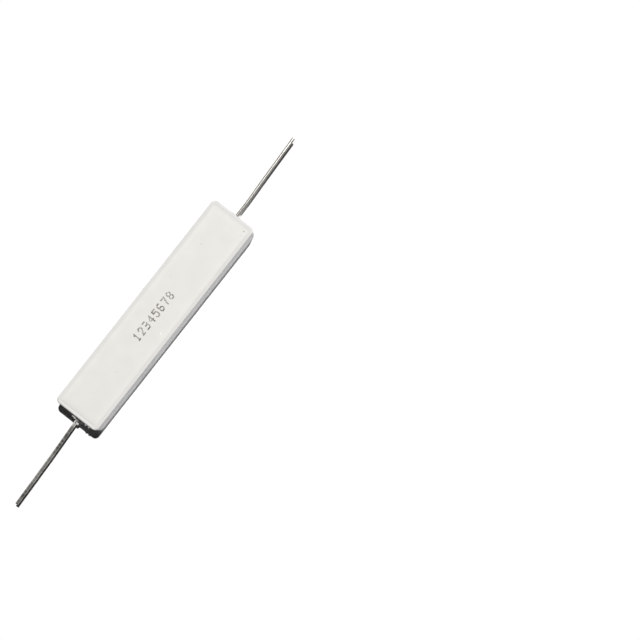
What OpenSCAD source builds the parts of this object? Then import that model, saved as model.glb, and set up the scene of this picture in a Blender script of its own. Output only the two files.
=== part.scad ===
// Axial power resistor in a white ceramic case, filled with cement, with a tinned lead at each end.
// Millimetres. The part lies on the open side of its case: the origin is the centre of that side,
// +X runs along the leads and +Z points to the closed side of the case.

/* [Case] */
// Length of the case, end to end
case_l = 61.2; // [56:0.1:66]
// Width of the case
case_w = 12.4; // [11.5:0.1:15]
// Height of the case, from its rim to its closed side
case_h = 11.5; // [10.5:0.1:14]
// Thickness of the long walls at the rim
side_wall = 1.6; // [1.2:0.05:2]
// Thickness of the end walls at the rim
end_wall = 2.2; // [1.5:0.1:3]
// Thickness of the closed side
roof = 1.9; // [1.2:0.1:2.5]
// Radius of the four upright corners
corner_r = 1.7; // [1.2:0.1:2.5]
// Rounding of the edges round the closed side
edge_r = 0.9; // [0.4:0.05:1.1]
// Radius of the upright corners inside the trough
trough_corner_r = 1.1; // [0.8:0.05:1.5]
// Rounding at the bottom of the trough
trough_edge_r = 0.6; // [0.3:0.05:0.7]
// Draft of the trough walls, in degrees, which lets the press punch leave
draft = 1; // [0:0.25:1.5]

/* [Lead slots] */
// Width of the slot in each end wall
slot_w = 2.4; // [1.8:0.1:3.2]
// Height of the lead axis above the rim
axis_h = 4; // [3.6:0.1:4.8]

/* [Cement] */
// Depth of the cement surface below the rim
cement_recess = 0.35; // [0.1:0.05:0.6]
// Radius of the cement bead round each lead
bead_r = 1; // [0.7:0.05:1.1]
// Reach of the larger bead, at the left end
bead_left = 0.9; // [0.3:0.05:1.2]
// Reach of the smaller bead, at the right end
bead_right = 0.5; // [0.2:0.05:1.2]

/* [Core and caps] */
// Diameter of the ceramic core rod
core_d = 5; // [4:0.1:5.2]
// Space between a cap's flat end and the end wall of the trough, at the rim
cap_gap = 3; // [1.5:0.1:5]
// Sheet thickness of the pressed end caps
cap_wall = 0.35; // [0.2:0.05:0.5]
// Rounding of a cap's outer edge
cap_edge_r = 0.3; // [0.1:0.05:0.5]
// Depth to which a cap covers the rod
cap_depth = 5; // [3:0.1:7]

/* [Winding] */
// Diameter of the resistance wire
wire_d = 0.3; // [0.2:0.05:0.4]
// Number of turns between the caps
turns = 38; // [20:1:40]
// Gap between the wire and what it is wound on
wire_gap = 0.04; // [0.03:0.01:0.08]

/* [Leads] */
// Diameter of the lead wire
lead_d = 0.8; // [0.6:0.05:1]
// Length of the left lead outside the case
lead_left_l = 25.6; // [20:0.1:35]
// Length of the right lead outside the case
lead_right_l = 23.7; // [20:0.1:35]
// Straight length between the cement bead and the first bend
root_l = 0.2; // [0.1:0.1:2]
// Straight length between the two slight bends
middle_l = 8; // [4:0.1:12]
// Angle of the first bend, in degrees
first_bend = 3.6; // [0.5:0.1:6]
// Angle by which the second bend turns back, in degrees
second_bend = 1.6; // [0.5:0.1:6]
// Radius of the bends, at the axis of the wire
bend_r = 16; // [8:1:24]
// Diameter of the upset head that is welded to the cap
head_d = 1.6; // [1.2:0.1:2.2]
// Length over which the head tapers to the wire
head_l = 0.6; // [0.3:0.1:1]

/* [Hidden] */
$fn = 64;
corner_fn = 40;                             // sides of a whole turn round the case's corners
slot_steps = 16;                            // sides of the round end of a lead slot
cap_edge_steps = 6;                         // sides of a cap's rounded edge
LEFT = -1;
RIGHT = 1;
through = 1;                                // how far a cut runs past the face that it opens
case_white = [0.93, 0.92, 0.90];
cement_grey = [0.78, 0.77, 0.74];
core_cream = [0.90, 0.86, 0.76];
wire_grey = [0.60, 0.58, 0.55];
cap_steel = [0.72, 0.71, 0.68];
lead_tin = [0.76, 0.76, 0.75];
trough_l = case_l - 2 * end_wall;
trough_w = case_w - 2 * side_wall;
trough_h = case_h - roof;
cap_face = trough_l / 2 - cap_gap;          // distance of a cap's flat end from the middle
core_l = 2 * (cap_face - cap_wall);
cap_d = core_d + 2 * cap_wall;
cap_mouth = core_l / 2 - cap_depth;         // distance of a cap's mouth from the middle
pitch = 2 * cap_mouth / turns;
wire_sides = 6;
rings_per_turn = 18;
climb = pitch / 2;                          // length over which the wire rises on to a cap
climb_end = cap_mouth - wire_d;             // the wire is at the cap's height here
wire_end = cap_mouth + 0.8 * pitch;         // the wire is welded to the cap's skirt here
wire_rings = ceil(2 * wire_end / pitch * rings_per_turn);
wire_room = 0.05;                           // cement stands this far off the wire
bead_root = 0.5;                            // depth to which a bead's round body runs into the slot
lap = 0.00001;                              // a lead's run starts this far inside its bend, against rounding

// Points of an arc about c, from angle a to angle b
function arc(c, r, a, b, steps) = [for (i = [0 : steps]) c + r * [cos(a + (b - a) * i / steps),
                                                             sin(a + (b - a) * i / steps)]];

// Upright round corner with a leaning wall and a rounded upper edge, of radius r at z = 0
module corner_column(r, h, edge, lean, below) {
    shoulder_z = h - edge;
    shoulder_r = r - shoulder_z * tan(lean) - edge / cos(lean);
    rotate_extrude($fn = corner_fn)
        polygon(concat([[0, -below], [r + below * tan(lean), -below]],
                       arc([shoulder_r, shoulder_z], edge, lean, 90, corner_fn / 4),
                       [[0, h]]));
}

// Block with round upright corners and a rounded upper edge: l and w are its size at z = 0
module pressed_block(l, w, h, r, edge, lean = 0, below = 0) {
    hull()
        for (x = [r - l / 2, l / 2 - r], y = [r - w / 2, w / 2 - r])
            translate([x, y, 0])
                corner_column(r, h, edge, lean, below);
}

// Space inside the case
module trough(below = 0) {
    pressed_block(trough_l, trough_w, trough_h, trough_corner_r, trough_edge_r, draft, below);
}

// Slot through one end wall, round at its closed end and open at the rim
module lead_slot(side, outer, below = 0) {
    inner = trough_l / 2 - trough_edge_r - trough_h * tan(draft);
    rotate([90, 0, 90])
        translate([0, 0, side < 0 ? -outer : inner])
            linear_extrude(outer - inner)
                polygon(concat([[slot_w / 2, -below]],
                               arc([0, axis_h], slot_w / 2, 0, 180, slot_steps),
                               [[-slot_w / 2, -below]]));
}

module ceramic_case() {
    color(case_white)
        difference() {
            pressed_block(case_l, case_w, case_h, corner_r, edge_r);
            trough(below = through);
            for (side = [LEFT, RIGHT])
                lead_slot(side, case_l / 2 + through, below = through);
        }
}

// Round body about the lead axis from x = a to x = b
module on_axis(a, b, d1, d2) {
    translate([a, 0, axis_h])
        rotate([0, 90, 0])
            cylinder(h = b - a, d1 = d1, d2 = d2);
}

// Low round bead of cement where a lead comes out
module bead(side, reach) {
    translate([side * case_l / 2, 0, axis_h])
        rotate([0, side * 90, 0])
            rotate_extrude()
                intersection() {
                    translate([0, reach - bead_r])
                        circle(r = bead_r);
                    translate([0, -bead_root])
                        square([bead_r, reach + bead_root]);
                }
}

module cement_fill() {
    cap_clear = cap_d + 2 * (wire_d + wire_gap + wire_room);
    color(cement_grey)
        difference() {
            union() {
                trough();
                for (side = [LEFT, RIGHT])
                    lead_slot(side, case_l / 2);
                bead(LEFT, bead_left);
                bead(RIGHT, bead_right);
            }
            translate([-case_l, -case_w, -through])
                cube([2 * case_l, 2 * case_w, through + cement_recess]);
            for (side = [LEFT, RIGHT])
                cap_body(side);
            on_axis(-cap_mouth, cap_mouth, cap_d, cap_d);
            on_axis(-wire_end - wire_d, wire_end + wire_d, cap_clear, cap_clear);
            on_axis(-case_l, case_l, lead_d, lead_d);
            on_axis(cap_face, cap_face + head_l, head_d, lead_d);
            on_axis(-cap_face - head_l, -cap_face, lead_d, head_d);
        }
}

module core_rod() {
    color(core_cream)
        on_axis(-core_l / 2, core_l / 2, core_d, core_d);
}

// Outside of a cap: a round cup with its outer edge rounded
module cap_body(side) {
    translate([side * cap_mouth, 0, axis_h])
        rotate([0, side * 90, 0])
            rotate_extrude()
                polygon(concat([[0, 0], [cap_d / 2, 0]],
                               arc([cap_d / 2 - cap_edge_r, cap_face - cap_mouth - cap_edge_r],
                                   cap_edge_r, 0, 90, cap_edge_steps),
                               [[0, cap_face - cap_mouth]]));
}

module end_cap(side) {
    inside = side < 0 ? -core_l / 2 : cap_mouth - through;
    color(cap_steel)
        difference() {
            cap_body(side);
            on_axis(inside, inside + cap_depth + through, core_d, core_d);
        }
}

// Distance of the wire's centre from the lead axis, at x along the rod
function rise(t) = t <= 0 ? 0 : t >= 1 ? 1 : t * t * (3 - 2 * t);
function wire_r(x) = core_d / 2 + wire_d / 2 + wire_gap
                     + cap_wall * rise((abs(x) - climb_end + climb) / climb);
function wire_x(i) = wire_end * (2 * i / wire_rings - 1);
function wire_turn(i) = 360 * wire_x(i) / pitch;

// Points of ring i of the wire: its section stands along the rod and outwards from it
function wire_ring(i) = [
    for (s = [0 : wire_sides - 1])
        let (a = 360 * (s + 0.5) / wire_sides,
             r = wire_r(wire_x(i)) + wire_d / 2 * cos(a))
        [wire_x(i) + wire_d / 2 * sin(a), r * cos(wire_turn(i)), r * sin(wire_turn(i))]
];

module resistance_wire() {
    points = [for (i = [0 : wire_rings]) each wire_ring(i)];
    skin = [
        for (i = [0 : wire_rings - 1], s = [0 : wire_sides - 1])
            let (a = i * wire_sides + s, b = i * wire_sides + (s + 1) % wire_sides)
            each [[a, b, b + wire_sides], [a, b + wire_sides, a + wire_sides]]
    ];
    first = [for (s = [wire_sides - 1 : -1 : 0]) s];
    last = [for (s = [0 : wire_sides - 1]) wire_rings * wire_sides + s];
    color(wire_grey)
        translate([0, 0, axis_h])
            polyhedron(points, concat(skin, [first, last]));
}

// Round wire laid from the origin along +X: straight runs with a slight bend after each but the last
module bent_wire(runs, bends, i = 0) {
    back = i > 0 ? lap : 0;
    translate([-back, 0, 0])
        rotate([0, 90, 0])
            cylinder(h = runs[i] + back, d = lead_d);
    if (i < len(bends)) {
        turn = bends[i];
        way = sign(turn);
        translate([runs[i], way * bend_r, 0])
            rotate([0, 0, way * (-90)])
                rotate_extrude(angle = turn)
                    translate([bend_r, 0])
                        circle(d = lead_d);
        translate([runs[i] + bend_r * sin(abs(turn)), way * bend_r * (1 - cos(turn)), 0])
            rotate([0, 0, turn])
                bent_wire(runs, bends, i + 1);
    }
}

// A lead runs from its cap through the cement and the slot, then bends slightly towards +Y and back
module lead(outside_l, bead_reach) {
    first_l = case_l / 2 - cap_face + bead_reach + root_l;
    bends_l = bend_r * (first_bend + second_bend) * PI / 180;
    tail_l = outside_l - bead_reach - root_l - middle_l - bends_l;
    color(lead_tin) {
        on_axis(cap_face, cap_face + head_l, head_d, lead_d);
        translate([cap_face, 0, axis_h])
            bent_wire([first_l, middle_l, tail_l], [first_bend, -second_bend]);
    }
}

ceramic_case();
cement_fill();
core_rod();
resistance_wire();
end_cap(LEFT);  // end_cap_left
end_cap(RIGHT);  // end_cap_right
rotate([0, 0, 180]) lead(lead_left_l, bead_left);  // lead_left
lead(lead_right_l, bead_right);  // lead_right
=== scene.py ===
import random
from math import copysign, radians, tan

import bmesh
import bpy
from mathutils import Matrix, Vector, noise


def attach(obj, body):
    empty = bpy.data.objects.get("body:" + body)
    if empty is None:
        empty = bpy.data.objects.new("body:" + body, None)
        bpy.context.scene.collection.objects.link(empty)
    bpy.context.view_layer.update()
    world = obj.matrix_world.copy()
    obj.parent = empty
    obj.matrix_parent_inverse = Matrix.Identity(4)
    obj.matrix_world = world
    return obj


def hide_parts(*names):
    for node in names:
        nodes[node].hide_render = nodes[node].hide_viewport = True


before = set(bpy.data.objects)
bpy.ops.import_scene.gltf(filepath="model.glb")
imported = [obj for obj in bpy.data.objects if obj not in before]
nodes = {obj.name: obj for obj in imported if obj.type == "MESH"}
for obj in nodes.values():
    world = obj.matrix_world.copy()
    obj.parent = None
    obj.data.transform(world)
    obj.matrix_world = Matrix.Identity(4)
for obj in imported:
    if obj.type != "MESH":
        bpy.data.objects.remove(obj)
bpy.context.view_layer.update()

MM = 0.001

# Camera: it looks nearly straight down on the part from a little over half a metre away,
# through a long lens, turned so that the part runs from the lower left to the upper right.
camera_data = bpy.data.cameras.new("camera")
camera_data.sensor_fit = 'HORIZONTAL'
camera_data.angle = radians(16.634)
camera_data.clip_start = 10 * MM
camera = bpy.data.objects.new("camera", camera_data)
view_right = Vector((0.61619, -0.78758, 0.00518))
view_up = Vector((0.78633, 0.61555, 0.05269))
view_back = view_right.cross(view_up)
camera.matrix_world = Matrix((view_right, view_up, view_back)).transposed().to_4x4()
camera.location = (-0.05 * MM, -46.41 * MM, 531.25 * MM)
bpy.context.scene.collection.objects.link(camera)
bpy.context.scene.camera = camera

# Case: one trough of white glazed ceramic, pressed in a die and fired, lying on its open side.
# Its closed side is a barely raised panel within a narrow lip, its walls came out of the kiln
# faintly wavy, and each end has a slot for a lead.
case_l = 61.2 * MM
case_w = 12.4 * MM
case_h = 11.5 * MM
side_wall = 1.6 * MM
end_wall = 2.2 * MM
roof = 1.9 * MM
corner_r = 1.25 * MM
edge_r = 0.6 * MM
trough_corner_r = 1.1 * MM
trough_edge_r = 0.6 * MM
draft = radians(1)
slot_w = 2.4 * MM
axis_h = 4 * MM
wave_depth = 0.05 * MM
wave_length = 4.2 * MM
# Below this height the waves fade out, so that the case stands on a level rim
level_foot = 2 * MM
# The panel's slope: distance from the outline and height above the lip, in millimetres
panel_slope = [(1.0, 0.0), (1.3, 0.05), (1.8, 0.08), (2.7, 0.1)]
# Room left over the panel for the ink
ink_room = 0.015 * MM
# How far the formers of the trough and the slots reach past the rim
past_rim = 1 * MM
# Points this close to a level count as lying on it
near = 0.01 * MM


def start_solid(name, size, centre):
    """A new block of that size, selected."""
    bpy.ops.object.select_all(action='DESELECT')
    bpy.ops.mesh.primitive_cube_add(size=1, location=centre)
    block = bpy.context.object
    block.name = name
    block.scale = size
    bpy.ops.object.transform_apply(location=True, rotation=True, scale=True)
    return block


def pick_edges(piece, wanted):
    """Selects the edges whose two ends pass the test, and leaves the piece in edit mode."""
    bpy.ops.object.mode_set(mode='EDIT')
    bpy.ops.mesh.select_mode(type='EDGE')
    bpy.ops.mesh.select_all(action='DESELECT')
    mesh = bmesh.from_edit_mesh(piece.data)
    for edge in mesh.edges:
        a, b = edge.verts
        if wanted(a.co, b.co):
            edge.select_set(True)
    bmesh.update_edit_mesh(piece.data)


def pressed_block(name, length, width, height, corner, edge, lean=0.0, below=0.0):
    """A block as a press makes it: leaning walls, round upright corners and upper edge."""
    block = start_solid(name, (length, width, height + below), (0, 0, (height - below) / 2))
    for vertex in block.data.vertices:
        inward = vertex.co.z * tan(lean)
        vertex.co.x -= copysign(inward, vertex.co.x)
        vertex.co.y -= copysign(inward, vertex.co.y)
    pick_edges(block, lambda a, b: abs(a.z - b.z) > height / 2)
    bpy.ops.mesh.bevel(offset=corner, segments=12, affect='EDGES')
    pick_edges(block, lambda a, b: min(a.z, b.z) > height - near)
    bpy.ops.mesh.bevel(offset=edge, segments=8, affect='EDGES')
    bpy.ops.mesh.select_all(action='SELECT')
    bpy.ops.mesh.normals_make_consistent(inside=False)
    return block


def cut_out(piece, former):
    """Takes the former's shape out of the piece and clears the former away."""
    bpy.ops.object.mode_set(mode='OBJECT')
    bpy.ops.object.select_all(action='DESELECT')
    bpy.context.view_layer.objects.active = piece
    piece.select_set(True)
    cut = piece.modifiers.new("cut", 'BOOLEAN')
    cut.operation = 'DIFFERENCE'
    cut.solver = 'EXACT'
    cut.object = former
    bpy.ops.object.modifier_apply(modifier=cut.name)
    bpy.data.objects.remove(former)


def slice_through(piece, places, way):
    """Divides the faces of the whole piece by planes across the given way."""
    bpy.ops.object.mode_set(mode='EDIT')
    for place in places:
        bpy.ops.mesh.select_all(action='SELECT')
        bpy.ops.mesh.bisect(plane_co=place * way, plane_no=way)


def on_line(points, x):
    """The height at x of the line through the points, level beyond its last one."""
    for (x0, y0), (x1, y1) in zip(points, points[1:]):
        share = (x - x0) / (x1 - x0)
        if share <= 1:
            return y0 + (y1 - y0) * share
    return y1


along_x = Vector((1, 0, 0))
along_y = Vector((0, 1, 0))
along_z = Vector((0, 0, 1))
lip_h = case_h - panel_slope[-1][1] * MM - ink_room
case = pressed_block("ceramic_shell", case_l, case_w, lip_h, corner_r, edge_r)
for distance, _ in panel_slope:
    from_middle = case_l / 2 - distance * MM
    slice_through(case, [-from_middle, from_middle], along_x)
    from_middle = case_w / 2 - distance * MM
    slice_through(case, [-from_middle, from_middle], along_y)
slice_through(case, [x * MM for x in range(-28, 29, 2)], along_x)
slice_through(case, [y * MM for y in range(-4, 5, 2)], along_y)
slice_through(case, [z * MM for z in range(2, 11, 2)], along_z)
bpy.ops.object.mode_set(mode='OBJECT')
for vertex in case.data.vertices:
    inside = min(case_l / 2 - abs(vertex.co.x), case_w / 2 - abs(vertex.co.y))
    if vertex.co.z > lip_h - near and inside > panel_slope[0][0] * MM:
        vertex.co.z += on_line(panel_slope, inside / MM) * MM
    above_rim = min(1.0, vertex.co.z / level_foot)
    hollow = min(1.0, max(0.0, 0.5 + 0.5 * noise.noise(vertex.co / wave_length)))
    vertex.co -= vertex.normal * wave_depth * hollow * above_rim

trough = pressed_block("trough_former", case_l - 2 * end_wall, case_w - 2 * side_wall,
                       case_h - roof, trough_corner_r, trough_edge_r, draft, past_rim)
cut_out(case, trough)
for side in (-1, 1):
    slot_top = axis_h + slot_w / 2
    former = start_solid("slot_former", (3 * end_wall, slot_w, slot_top + past_rim),
                         (side * case_l / 2, 0, (slot_top - past_rim) / 2))
    pick_edges(former, lambda a, b: min(a.z, b.z) > slot_top - near and abs(a.x - b.x) > end_wall)
    # A hair under half the width, so that the two roundings don't run into each other
    bpy.ops.mesh.bevel(offset=0.499 * slot_w, segments=10, affect='EDGES')
    cut_out(case, former)
bpy.ops.object.shade_smooth_by_angle(angle=radians(32))
level_flats = case.modifiers.new("level_flats", 'WEIGHTED_NORMAL')
level_flats.keep_sharp = True
bpy.ops.object.modifier_apply(modifier=level_flats.name)


def new_finish(name, roughness, metallic=0.0):
    """A material with its shader, and the place of each point of the piece."""
    material = bpy.data.materials.new(name)
    material.use_nodes = True
    tree = material.node_tree
    shader = tree.nodes["Principled BSDF"]
    shader.inputs["Roughness"].default_value = roughness
    shader.inputs["Metallic"].default_value = metallic
    place = tree.nodes.new("ShaderNodeTexCoord").outputs["Object"]
    return material, tree, shader, place


def split_axes(tree, place):
    """The x, y and z of a place or a direction."""
    node = tree.nodes.new("ShaderNodeSeparateXYZ")
    tree.links.new(place, node.inputs["Vector"])
    return node.outputs["X"], node.outputs["Y"], node.outputs["Z"]


def scaled(tree, place, scale):
    """The place with each axis scaled, to stretch or flatten a pattern."""
    node = tree.nodes.new("ShaderNodeMapping")
    node.inputs["Scale"].default_value = scale
    tree.links.new(place, node.inputs["Vector"])
    return node.outputs["Vector"]


def grain(tree, place, size, detail=2.0):
    """Noise with patches of about that size in metres."""
    pattern = tree.nodes.new("ShaderNodeTexNoise")
    pattern.inputs["Scale"].default_value = 1 / size
    pattern.inputs["Detail"].default_value = detail
    tree.links.new(place, pattern.inputs["Vector"])
    return pattern.outputs["Fac"]


def spread(tree, value, low, high, start=0.0, end=1.0, smooth=False):
    """Maps a value from low to high on to start to end."""
    node = tree.nodes.new("ShaderNodeMapRange")
    node.interpolation_type = 'SMOOTHSTEP' if smooth else 'LINEAR'
    tree.links.new(value, node.inputs["Value"])
    node.inputs["From Min"].default_value = low
    node.inputs["From Max"].default_value = high
    node.inputs["To Min"].default_value = start
    node.inputs["To Max"].default_value = end
    return node.outputs["Result"]


def sum_up(tree, operation, first, second=None):
    """Arithmetic on values, each a socket or a number."""
    node = tree.nodes.new("ShaderNodeMath")
    node.operation = operation
    for socket, value in zip(node.inputs, (first, second)):
        if isinstance(value, bpy.types.NodeSocket):
            tree.links.new(value, socket)
        elif value is not None:
            socket.default_value = value
    return node.outputs["Value"]


def blend_colours(tree, amount, first, second):
    """Goes from the first colour to the second by amount, each a socket or a colour."""
    node = tree.nodes.new("ShaderNodeMix")
    node.data_type = 'RGBA'
    tree.links.new(amount, node.inputs["Factor"])
    for socket, colour in ((node.inputs[6], first), (node.inputs[7], second)):
        if isinstance(colour, bpy.types.NodeSocket):
            tree.links.new(colour, socket)
        else:
            socket.default_value = (*colour, 1)
    return node.outputs[2]


def shades(tree, value, stops):
    """Colours along a value: stops are pairs of a position and a colour."""
    node = tree.nodes.new("ShaderNodeValToRGB")
    ramp = node.color_ramp
    while len(ramp.elements) < len(stops):
        ramp.elements.new(0.5)
    for element, (position, colour) in zip(ramp.elements, stops):
        element.position = position
        element.color = (*colour, 1)
    tree.links.new(value, node.inputs["Fac"])
    return node.outputs["Color"]


def relief(tree, shader, height, depth):
    """Raises and lowers the surface by height, through the given depth in metres."""
    node = tree.nodes.new("ShaderNodeBump")
    node.inputs["Strength"].default_value = 1
    node.inputs["Distance"].default_value = depth
    tree.links.new(height, node.inputs["Height"])
    tree.links.new(node.outputs["Normal"], shader.inputs["Normal"])


# Painted light and shade on the rounded lip of the top: a little darker along the sides, lighter
# at the left end and darker at the right end, for how the hard lamp falls on the rounding
side_lip_painted_shade = (0.70, 0.69, 0.665)
left_lip_painted_light = (0.84, 0.83, 0.81)
right_lip_painted_shade = (0.685, 0.675, 0.66)
# Painted shade on the outermost rounding of the top's edge
outline_painted_shade = (0.585, 0.58, 0.567)
# Painted shade in the shallow valley at the lip's inner edge, easing off over the slope up to the
# panel
valley_painted_shade = (0.692, 0.672, 0.645)
slope_painted_shade = (0.735, 0.722, 0.69)
# The flat panel is painted darker at the left end and lighter at the right end, for how the light
# falls along it
left_panel_painted_shade = (0.765, 0.753, 0.708)
right_panel_painted_light = (0.79, 0.782, 0.742)
# The walls' colour is painted light: patches of painted reflection and bounce light run between
# these two
wall_painted_light = (0.85, 0.845, 0.85)
wall_painted_shade = (0.70, 0.695, 0.71)
cloud_colour = (0.70, 0.66, 0.62)
# How far in from the outline the shades of the rim reach
rim_reach = 3 * MM
# Where those shades change, as shares of that reach: the outline's line of painted shade, the
# painted shade in the valley at the lip's inner edge, the slope, and the way up to the panel
outline_end = (0.06, 0.16)
valley = (0.2, 0.33)
slope_at = 0.45
panel_start = (0.35, 0.75)
# Between these depths under the top the walls' shades give way to the top's
edge_shade = (1.1 * MM, 0.5 * MM)
# How much lighter the walls' patches of painted reflection get, as painted light: at the foot, as
# light bounced from the floor, and higher up, at the left and the right end, and at both ends and
# in the middle
foot_painted_lift = (0.25, -0.2)
length_painted_lift = (-0.1, 0.12)
middle_painted_lift = (-0.05, 0.16)
reflection_patch_size = 4 * MM
cloud_size = 7 * MM
cloud_strength = 0.06
fine_peel = 0.5 * MM
broad_peel = 1.7 * MM
peel_depth = 0.012 * MM
gloss_size = 3 * MM
# Iron specks and one glaze bubble on the panel: x, y and radius in millimetres, and the colour
specks = [
    (28.63, -4.32, 0.17, (0.45, 0.36, 0.30)),
    (28.69, -2.76, 0.17, (0.80, 0.70, 0.62)),
    (27.42, -4.33, 0.16, (0.72, 0.66, 0.62)),
    (20.09, 1.74, 0.17, (0.66, 0.63, 0.60)),
    (9.43, 2.58, 0.15, (0.70, 0.66, 0.62)),
    (-16.35, -1.13, 0.16, (0.68, 0.64, 0.60)),
    (-2.67, -3.78, 0.17, (1.0, 1.0, 1.0)),
]

glaze, tree, shader, place = new_finish("glazed_ceramic", 0.7)
x_at, y_at, z_at = split_axes(tree, place)
from_end = sum_up(tree, 'SUBTRACT', case_l / 2, sum_up(tree, 'ABSOLUTE', x_at))
from_side = sum_up(tree, 'SUBTRACT', case_w / 2, sum_up(tree, 'ABSOLUTE', y_at))
# The shades of the rim are narrower along the sides than at the ends
from_outline = sum_up(tree, 'MINIMUM', from_end, sum_up(tree, 'MULTIPLY', from_side, 1.5))
margin = spread(tree, from_outline, 0, rim_reach)
along = spread(tree, x_at, -case_l / 2, case_l / 2)
at_end = sum_up(tree, 'LESS_THAN', from_end, from_side)
# The lip's painted light and shade: lighter at the left end, darker at the right end and along
# the sides
end_lip_painted = blend_colours(tree, along, left_lip_painted_light, right_lip_painted_shade)
lip = blend_colours(tree, at_end, side_lip_painted_shade, end_lip_painted)
# Painted shade: a greyer line on the outline, stronger to the right, round the ends and the far
# side
outline_shade_amount = sum_up(tree, 'MULTIPLY', spread(tree, margin, *outline_end, 1, 0), along)
far_side = sum_up(tree, 'GREATER_THAN', y_at, 0)
outline_shade_amount = sum_up(tree, 'MULTIPLY', outline_shade_amount, sum_up(tree, 'MAXIMUM', at_end, far_side))
lip = blend_colours(tree, outline_shade_amount, lip, outline_painted_shade)
# Painted shade in the valley inside the lip, fading over the slope to the panel
slope = shades(tree, margin, [(valley[0], valley_painted_shade), (valley[1], valley_painted_shade),
                              (slope_at, slope_painted_shade)])
rim = blend_colours(tree, spread(tree, margin, *valley), lip, slope)
# Painted light along the panel: darker at the left end, lighter at the right
panel = blend_colours(tree, along, left_panel_painted_shade, right_panel_painted_light)
top = blend_colours(tree, spread(tree, margin, *panel_start, smooth=True), rim, panel)
# Painted reflections and bounce light on the walls: patches, lighter at the foot, to the right
# and in the middle
patches = grain(tree, scaled(tree, place, (1, 1, 0.6)), reflection_patch_size)
painted_lift = sum_up(tree, 'ADD', spread(tree, z_at, 0, 0.75 * case_h, *foot_painted_lift),
              spread(tree, along, 0, 1, *length_painted_lift))
painted_lift = sum_up(tree, 'ADD', painted_lift, spread(tree, from_end, 0, case_l / 2, *middle_painted_lift))
wall_painted_tone = spread(tree, sum_up(tree, 'ADD', patches, painted_lift), 0.25, 0.75, smooth=True)
walls = blend_colours(tree, wall_painted_tone, wall_painted_shade, wall_painted_light)
near_top = spread(tree, z_at, case_h - edge_shade[0], case_h - edge_shade[1], smooth=True)
skin = blend_colours(tree, near_top, walls, top)
cloudy = spread(tree, grain(tree, place, cloud_size, 4), 0.3, 0.7, 0, cloud_strength)
skin = blend_colours(tree, cloudy, skin, cloud_colour)
for x, y, radius, colour in specks:
    apart = tree.nodes.new("ShaderNodeVectorMath")
    apart.operation = 'DISTANCE'
    tree.links.new(place, apart.inputs[0])
    apart.inputs[1].default_value = (x * MM, y * MM, case_h)
    within = spread(tree, apart.outputs["Value"], 0.7 * radius * MM, 1.4 * radius * MM,
                    1, 0, smooth=True)
    skin = blend_colours(tree, within, skin, colour)
tree.links.new(skin, shader.inputs["Base Color"])
orange_peel = sum_up(tree, 'ADD', grain(tree, place, fine_peel), grain(tree, place, broad_peel))
relief(tree, shader, orange_peel, peel_depth)
dullness = spread(tree, grain(tree, place, gloss_size), 0.3, 0.7, 0.62, 0.78)
tree.links.new(dullness, shader.inputs["Roughness"])
case.data.materials.append(glaze)
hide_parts("ceramic_case")
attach(case, "root")

# Printed digits: small drops of grey-brown ink, set out in columns of seven by a moving print
# head, so that they run together into strokes and fade where the head gave too little ink.
digit_pitch = 1.8 * MM
digit_w = 1.34 * MM
digit_h = 2.25 * MM
print_centre = (-0.5 * MM, 0.09 * MM)
drop_r = 0.2 * MM
drop_height = 0.012 * MM
# Each drop differs a little in size, and a few are missing
drop_sizes = (0.82, 1.05)
missing_share = 0.03
ink_dark = (0.12, 0.105, 0.10)
ink_faded = (0.34, 0.315, 0.30)
digit_rows = {
    "1": ("..#..", ".##..", "..#..", "..#..", "..#..", "..#..", ".###."),
    "2": (".###.", "#...#", "....#", "...#.", "..#..", ".#...", "#####"),
    "3": ("####.", "....#", "....#", ".###.", "....#", "....#", "####."),
    "4": ("...#.", "..##.", ".#.#.", "#..#.", "#####", "...#.", "...#."),
    "5": ("#####", "#....", "####.", "....#", "....#", "#...#", ".###."),
    "6": (".###.", "#....", "#....", "####.", "#...#", "#...#", ".###."),
    "7": ("#####", "....#", "...#.", "...#.", "..#..", "..#..", "..#.."),
    "8": (".###.", "#...#", "#...#", ".###.", "#...#", "#...#", ".###."),
}
printed = "12345678"


def pick_faces(piece, wanted):
    """Selects the faces whose normal passes the test, and leaves the piece in edit mode."""
    bpy.ops.object.mode_set(mode='EDIT')
    bpy.ops.mesh.select_mode(type='FACE')
    bpy.ops.mesh.select_all(action='DESELECT')
    mesh = bmesh.from_edit_mesh(piece.data)
    for face in mesh.faces:
        if wanted(face.normal):
            face.select_set(True)
    bmesh.update_edit_mesh(piece.data)


def join_up(pieces, name):
    """Makes the pieces one mesh of that name, with its place in its points, selected."""
    bpy.ops.object.select_all(action='DESELECT')
    for piece in pieces:
        piece.select_set(True)
    joined = pieces[0]
    bpy.context.view_layer.objects.active = joined
    bpy.ops.object.join()
    bpy.ops.object.transform_apply(location=True, rotation=True, scale=True)
    joined.name = name
    return joined


def colour_by(tree, shader, amount, first, second):
    """Colours the surface from the first colour to the second by amount."""
    tree.links.new(blend_colours(tree, amount, first, second), shader.inputs["Base Color"])


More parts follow.
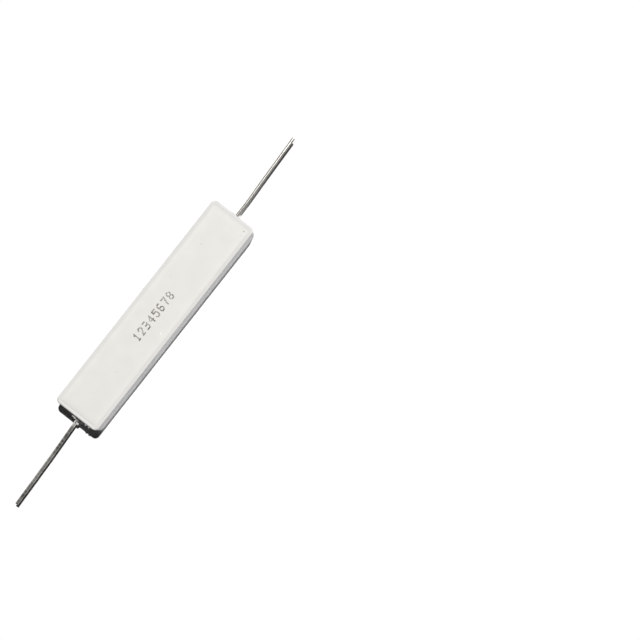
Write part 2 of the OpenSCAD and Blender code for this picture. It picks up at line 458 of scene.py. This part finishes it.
bpy.ops.object.select_all(action='DESELECT')
bpy.ops.mesh.primitive_cylinder_add(vertices=10, radius=drop_r, depth=drop_height)
drop = bpy.context.object
pick_faces(drop, lambda normal: normal.z > 0.99)
bpy.ops.mesh.inset(thickness=0.25 * drop_r, depth=0.3 * drop_height)
bpy.ops.object.mode_set(mode='OBJECT')
chance = random.Random(11)
drops = []
for number, digit in enumerate(printed):
    digit_centre = print_centre[0] + (number - (len(printed) - 1) / 2) * digit_pitch
    left = digit_centre - digit_w / 2 + drop_r
    top_row = print_centre[1] + digit_h / 2 - drop_r
    for row, line in enumerate(digit_rows[digit]):
        for column, mark in enumerate(line):
            missing = chance.random() < missing_share
            size = chance.uniform(*drop_sizes)
            if mark == "." or missing:
                continue
            copy = drop.copy()
            copy.data = drop.data.copy()
            copy.scale = (size, size, 1)
            x = left + column * (digit_w - 2 * drop_r) / 4
            y = top_row - row * (digit_h - 2 * drop_r) / 6
            struck = case.ray_cast(Vector((x, y, 2 * case_h)), -along_z)[1]
            copy.location = struck + 0.2 * drop_height * along_z
            bpy.context.collection.objects.link(copy)
            drops.append(copy)
bpy.data.objects.remove(drop)
digits = join_up(drops, "printed_digits")
ink, tree, shader, place = new_finish("print_ink", 0.6)
fading = spread(tree, grain(tree, place, 0.8 * MM), 0.35, 0.65, smooth=True)
colour_by(tree, shader, fading, ink_dark, ink_faded)
relief(tree, shader, grain(tree, place, 0.1 * MM), 0.004 * MM)
digits.data.materials.append(ink)
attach(digits, "root")

# Cement: grey-white ceramic cement that was poured round the core, struck level below the rim
# and dried. It is matt and sandy, with small bubbles, and closes both slots round the leads.
cement_dark = (0.56, 0.54, 0.50)
cement_light = (0.70, 0.68, 0.64)
sand_colour = (0.33, 0.31, 0.29)
sand_size = 0.28 * MM
bubble_spacing = 1.6 * MM
cement_relief = 0.05 * MM


def cells(tree, place, spacing):
    """Distance to the nearest of many scattered points, as a share of their spacing."""
    node = tree.nodes.new("ShaderNodeTexVoronoi")
    node.inputs["Scale"].default_value = 1 / spacing
    tree.links.new(place, node.inputs["Vector"])
    return node.outputs["Distance"]


def dress(name, material):
    """Gives a node of the frame its material."""
    for slot in nodes[name].material_slots:
        slot.material = material


cement, tree, shader, place = new_finish("cement", 0.9)
patches = spread(tree, grain(tree, place, 3 * MM, 4), 0.3, 0.7)
base = blend_colours(tree, patches, cement_dark, cement_light)
dark_grain = spread(tree, grain(tree, place, 0.25 * MM), 0.62, 0.70)
colour_by(tree, shader, dark_grain, base, sand_colour)
grains = spread(tree, cells(tree, place, sand_size), 0.0, 0.5)
pits = spread(tree, cells(tree, place, bubble_spacing), 0.10, 0.24, 0, 2, smooth=True)
relief(tree, shader, sum_up(tree, 'ADD', grains, pits), cement_relief)
dress("cement_fill", cement)

# Cement crumbs: what was squeezed out of the slots and set as lumps round the leads, and a few
# splashes of it that dried on the end walls.
crumb_dark = (0.52, 0.50, 0.47)
crumb_light = (0.80, 0.79, 0.77)
lump_size = 0.7 * MM
lumpiness = 0.32
pitting_size = 0.2 * MM
pitting_depth = 0.06 * MM
# Each crumb's centre and its half length along each axis, in millimetres
crumbs = [
    ("flake_top", (-30.98, 0.5, 9.35), (0.15, 0.4, 0.3)),
    ("flake_tip", (-31.1, 0.0, 9.2), (0.16, 0.4, 0.32)),
    ("flake_root", (-30.75, 0.15, 8.8), (0.3, 0.4, 0.28)),
    ("collar_top", (-30.95, 0.1, 5.15), (0.5, 0.8, 0.4)),
    ("collar_side", (-31.0, -1.2, 4.9), (0.55, 0.5, 0.6)),
    ("lump", (-32.0, -0.85, 4.35), (0.42, 0.46, 0.42)),
    ("crumb_a", (-30.66, -3.15, 10.1), (0.24, 0.24, 0.22)),
    ("crumb_b", (-30.68, -4.05, 10.0), (0.25, 0.28, 0.24)),
    ("root_lump", (30.95, -0.8, 4.5), (0.6, 0.3, 0.45)),
    ("nub", (30.62, -1.42, 9.0), (0.26, 0.3, 0.32)),
    ("swell", (30.45, 0.7, 9.7), (0.32, 0.8, 0.5)),
]
# Fixes the chance in the pitting, so that the same crumbs come out each time
noise.seed_set(7)
pieces = []
for name, centre, half_size in crumbs:
    bpy.ops.object.select_all(action='DESELECT')
    bpy.ops.mesh.primitive_ico_sphere_add(subdivisions=4, radius=1 * MM)
    crumb = bpy.context.object
    crumb.name = name
    for vertex in crumb.data.vertices:
        vertex.co *= 1 + lumpiness * noise.noise(vertex.co / lump_size + Vector(centre))
        vertex.co += pitting_depth * noise.noise_vector(vertex.co / pitting_size)
    crumb.scale = half_size
    crumb.location = Vector(centre) * MM
    pieces.append(crumb)
set_crumbs = join_up(pieces, "set_crumbs")
bpy.ops.object.shade_smooth()
crumb_finish, tree, shader, place = new_finish("crumb_cement", 0.55)
colour_by(tree, shader, grain(tree, place, 0.4 * MM), crumb_dark, crumb_light)
relief(tree, shader, grain(tree, place, 0.15 * MM, 4), 0.03 * MM)
set_crumbs.data.materials.append(crumb_finish)
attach(set_crumbs, "root")

# Leads: drawn steel wire with a dull tin coat, cut off square, welded to the end caps and bent
# slightly by handling. The drawing and tinning rollers left fine bands across them.
lead_r = 0.4 * MM
coat_unevenness = 0.0005 * MM
unevenness_length = 0.9 * MM
ring_spacing = 0.5 * MM
cut_rim = 0.05 * MM
# Where the wire's axis runs, from the cap to the tip: x and y in millimetres
lead_paths = {
    "lead_left": [(-25.4, 0), (-30.6, -0.25), (-34, -0.41), (-38, -0.63), (-42, -0.83),
                  (-48, -1.05), (-56.18, -1.34)],
    "lead_right": [(25.4, 0), (31, -0.02), (34, -0.02), (35.5, 0), (38, 0.1), (41, 0.26),
                   (47, 0.49), (54.28, 0.75)],
}
# How far the leads' painted reflections reach from the middle of the part
reflection_reach = 57 * MM
# The tin's painted reflections from the left tip to the right one, as a share of the way and a
# colour. The left lead is painted dark at its tip and from 3 to 8 mm out of the case, with a
# painted highlight right against it. The right one has one base shade.
reflection_stops = [
    (0.03, (0.11, 0.11, 0.105)),
    (0.06, (0.29, 0.29, 0.275)),
    (0.13, (0.34, 0.335, 0.315)),
    (0.16, (0.085, 0.075, 0.065)),
    (0.205, (0.085, 0.075, 0.065)),
    (0.212, (0.85, 0.82, 0.76)),
    (0.77, (0.32, 0.31, 0.29)),
]
tarnish_colour = (0.20, 0.18, 0.155)
tarnish_size = 3 * MM
band_colour = (0.51, 0.51, 0.49)
band_width = 0.42 * MM
band_length = 2.5 * MM
# How strong the bands are, on the left lead and on the right one
band_strength = (0.62, 0.3)
band_relief = 0.0002 * MM

tin, tree, shader, place = new_finish("tinned_wire", 0.17, 1.0)
across = scaled(tree, place, (1 / band_width, 1 / band_length, 1 / band_length))
rolled = grain(tree, across, 1, 3)
band = spread(tree, rolled, 0.4, 0.6)
along = spread(tree, split_axes(tree, place)[0], -reflection_reach, reflection_reach)
# Painted reflections and a painted highlight along the leads, with real tarnish mixed in below
painted_reflections = shades(tree, along, reflection_stops)
tarnish = spread(tree, grain(tree, place, tarnish_size), 0.35, 0.65, 0, 0.5)
tarnish_and_reflections = blend_colours(tree, tarnish, painted_reflections, tarnish_colour)
strength = sum_up(tree, 'MULTIPLY', band, spread(tree, along, 0.23, 0.77, *band_strength))
colour_by(tree, shader, strength, tarnish_and_reflections, band_colour)
tree.links.new(spread(tree, rolled, 0.3, 0.7, 0.165, 0.175), shader.inputs["Roughness"])
relief(tree, shader, band, band_relief)
for name, path in lead_paths.items():
    start, tip = sorted((path[0][0] * MM, path[-1][0] * MM))
    bpy.ops.object.select_all(action='DESELECT')
    bpy.ops.mesh.primitive_cylinder_add(vertices=32, radius=lead_r, depth=tip - start,
                                        location=((start + tip) / 2, 0, axis_h),
                                        rotation=(0, radians(90), 0))
    lead = bpy.context.object
    lead.name = name + "_wire"
    bpy.ops.object.transform_apply(location=True, rotation=True, scale=True)
    pick_faces(lead, lambda normal: abs(normal.x) > 0.99)
    bpy.ops.mesh.inset(thickness=cut_rim, use_individual=True)
    cuts = int((tip - start) / ring_spacing)
    slice_through(lead, [start + i * ring_spacing for i in range(1, cuts + 1)], along_x)
    bpy.ops.object.mode_set(mode='OBJECT')
    for vertex in lead.data.vertices:
        outward = Vector((0, vertex.co.y, vertex.co.z - axis_h)) / lead_r
        swell = noise.noise(Vector((vertex.co.x / unevenness_length, outward.y, outward.z)))
        vertex.co += outward * coat_unevenness * swell
        vertex.co.y += on_line(path, vertex.co.x / MM) * MM
    bpy.ops.object.shade_smooth_by_angle(angle=radians(40))
    lead.data.materials.append(tin)
    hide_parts(name)
    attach(lead, "root")

# End caps: cups pressed from thin plated steel and forced on to the rod, with faint marks from
# the punch running round them.
plate_dark = (0.52, 0.51, 0.48)
plate_light = (0.66, 0.65, 0.62)
plate, tree, shader, place = new_finish("plated_steel", 0.3, 1.0)
colour_by(tree, shader, grain(tree, place, 1.2 * MM, 4), plate_dark, plate_light)
punch_marks = tree.nodes.new("ShaderNodeTexWave")
punch_marks.inputs["Scale"].default_value = 1 / (2.2 * MM)
punch_marks.inputs["Distortion"].default_value = 1.2
tree.links.new(place, punch_marks.inputs["Vector"])
relief(tree, shader, punch_marks.outputs["Fac"], 0.008 * MM)
dress("end_cap_left", plate)
dress("end_cap_right", plate)

# Core: a rod of unglazed cream ceramic, which carries the winding and is held by the caps. It
# is ground round, so that it is matt with fine grain.
cream_dark = (0.72, 0.66, 0.54)
cream_light = (0.82, 0.77, 0.66)
rod, tree, shader, place = new_finish("core_ceramic", 0.75)
colour_by(tree, shader, grain(tree, place, 0.6 * MM, 4), cream_dark, cream_light)
relief(tree, shader, grain(tree, place, 0.15 * MM), 0.01 * MM)
dress("core_rod", rod)

# Winding: resistance wire of a dark grey nickel alloy, drawn, wound on the rod and welded to
# the caps.
alloy_dark = (0.34, 0.32, 0.29)
alloy_light = (0.47, 0.45, 0.42)
alloy, tree, shader, place = new_finish("resistance_alloy", 0.4, 1.0)
colour_by(tree, shader, grain(tree, place, 0.8 * MM, 3), alloy_dark, alloy_light)
relief(tree, shader, grain(tree, place, 0.05 * MM), 0.003 * MM)
dress("resistance_wire", alloy)

# Floor: a smooth sheet of paper under the part. It looks white, and throws back little light,
# so that the shadow stays nearly black.
paper_seen = (1, 1, 1)
paper_thrown_back = (0.02, 0.02, 0.02)


def looked_at(tree):
    """One for what the camera sees, directly, in a reflection or through glass, else nought."""
    rays = tree.nodes.new("ShaderNodeLightPath")
    seen = sum_up(tree, 'MAXIMUM', rays.outputs["Is Camera Ray"], rays.outputs["Is Glossy Ray"])
    return sum_up(tree, 'MAXIMUM', seen, rays.outputs["Is Transmission Ray"])


bpy.ops.object.select_all(action='DESELECT')
bpy.ops.mesh.primitive_plane_add(size=3)
floor = bpy.context.object
floor.name = "floor"
paper, tree, shader, place = new_finish("white_paper", 1.0)
shader.inputs["Specular IOR Level"].default_value = 0
colour_by(tree, shader, looked_at(tree), paper_thrown_back, paper_seen)
floor.data.materials.append(paper)

# Light: one hard lamp nearly overhead, lamps level with the floor that reach only the walls, and
# a room that is white at the sides and dimmer above, least so on the hard lamp's side. The room
# shows in the bright wires, and gives almost no light of its own.
ceiling_strength = (0.33, 0.75)
room_light = 0.0015


def add_lamp(name, travel, energy, angle):
    """A distant lamp whose light travels in the given way."""
    lamp = bpy.data.objects.new(name, bpy.data.lights.new(name, 'SUN'))
    lamp.data.energy = energy
    lamp.data.angle = radians(angle)
    lamp.rotation_euler = Vector(travel).to_track_quat('-Z', 'Y').to_euler()
    bpy.context.scene.collection.objects.link(lamp)


add_lamp("key_lamp", (-0.2, -0.044, -1), energy=3.23, angle=0.9)
add_lamp("right_side_lamp", (-0.5, 1, -0.002), energy=1.61, angle=0.2)
add_lamp("left_side_lamp", (-0.5, -1, -0.002), energy=1.5, angle=0.2)
add_lamp("right_end_lamp", (-1, 0.1, -0.002), energy=0.47, angle=0.2)
add_lamp("left_end_lamp", (1, 0.1, -0.002), energy=0.11, angle=0.2)

world = bpy.data.worlds.new("white_room")
world.use_nodes = True
bpy.context.scene.world = world
tree = world.node_tree
around = tree.nodes["Background"]
around.inputs["Color"].default_value = (1, 1, 1, 1)
way = tree.nodes.new("ShaderNodeTexCoord").outputs["Generated"]
x_way, y_way, z_way = split_axes(tree, way)
aside = sum_up(tree, 'ADD', x_way, sum_up(tree, 'MULTIPLY', y_way, 0.3))
ceiling = spread(tree, aside, 0, 0.12, *ceiling_strength, smooth=True)
sides = spread(tree, z_way, 0.4, 0.18, smooth=True)
room = sum_up(tree, 'MAXIMUM', ceiling, sides)
room = sum_up(tree, 'MULTIPLY', room, looked_at(tree))
tree.links.new(sum_up(tree, 'MAXIMUM', room, room_light), around.inputs["Strength"])

bpy.context.scene.view_settings.view_transform = 'Standard'
